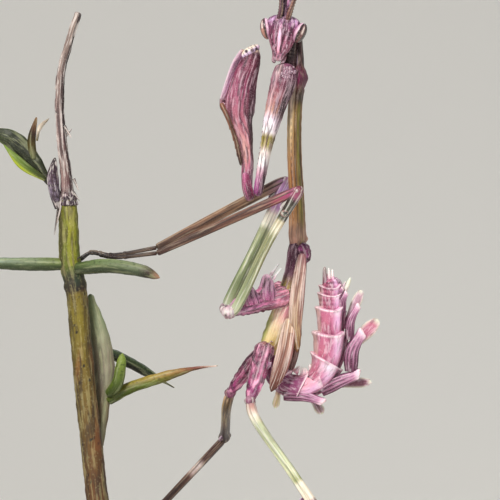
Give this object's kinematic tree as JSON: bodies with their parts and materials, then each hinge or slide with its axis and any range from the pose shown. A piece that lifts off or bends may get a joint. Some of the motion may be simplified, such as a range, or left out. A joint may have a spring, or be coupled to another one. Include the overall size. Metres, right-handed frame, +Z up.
{
  "type": "conehead mantis nymph on a perch",
  "caption": "Life-size still model of a conehead mantis nymph clinging upright to a thorny twig, with its abdomen curled up, on a plain wooden base with a short rod.",
  "frame": {"origin": "centre of the stand base's underside", "axes": "+Z up, towards the mantis's head; +X towards its back, away from the twig; +Y towards its right side"},
  "size_m": [0.05, 0.034, 0.0866],
  "materials": {
    "head": "satin, mauve pink with lilac and maroon streaks",
    "eye": "glossy, cream with dark upright stripes",
    "crown": "satin, dark purple brown with a pink streak",
    "antenna": "matt brown",
    "pronotum": "satin, straw with olive and orange stripes",
    "thorax": "satin, mauve to yellow green",
    "abdomen": "satin, rose pink with lilac rims",
    "wing_pad": "satin, cream and tan with long veins",
    "foreleg": "satin, mauve and pink with pale bands",
    "coxa": "satin, pink with pale streaks",
    "thigh": "satin, sage green with white and purple bands",
    "shin": "satin, mauve brown with cream lines",
    "foot": "satin dark brown",
    "bark": "matt, olive green below a dry grey pink top",
    "green_shoot": "satin sage green with pale tips",
    "base_wood": "satin dark walnut",
    "rod_steel": "satin"
  },
  "bodies": {
    "root": {"abdomen_1": "abdomen", "abdomen_2": "abdomen", "abdomen_3": "abdomen", "abdomen_4": "abdomen", "abdomen_5": "abdomen", "abdomen_6": "abdomen", "abdomen_7": "abdomen", "abdomen_8": "abdomen", "abdomen_tip": "abdomen", "head": "head", "eye_left": "eye", "eye_right": "eye", "crown": "crown", "antenna_left": "antenna", "antenna_right": "antenna", "neck": "thorax", "prothorax": "pronotum", "mesothorax": "thorax", "metathorax": "thorax", "fore_wing_pad_left": "wing_pad", "hind_wing_pad_left": "wing_pad", "fore_coxa_left": "foreleg", "fore_femur_left": "foreleg", "fore_tibia_left": "foreleg", "fore_tarsus_left": "foreleg", "mid_coxa_left": "coxa", "mid_femur_left": "thigh", "mid_tibia_left": "shin", "mid_tarsus_left": "foot", "hind_coxa_left": "coxa", "hind_femur_left": "thigh", "hind_tibia_left": "shin", "hind_tarsus_left": "foot", "fore_wing_pad_right": "wing_pad", "hind_wing_pad_right": "wing_pad", "fore_coxa_right": "foreleg", "fore_femur_right": "foreleg", "fore_tibia_right": "foreleg", "fore_tarsus_right": "foreleg", "mid_coxa_right": "coxa", "mid_femur_right": "thigh", "mid_tibia_right": "shin", "mid_tarsus_right": "foot", "hind_coxa_right": "coxa", "hind_femur_right": "thigh", "hind_tibia_right": "shin", "hind_tarsus_right": "foot", "perch_twig": "bark", "perch_shoot": "green_shoot", "perch_sprig": "green_shoot", "perch_thorn_left": "green_shoot", "perch_thorn_right": "green_shoot", "perch_thorn_low": "green_shoot", "perch_thorn_short": "green_shoot", "perch_thorn_far": "green_shoot", "stand_base": "base_wood", "stand_rod": "rod_steel"}
  },
  "joints": []
}
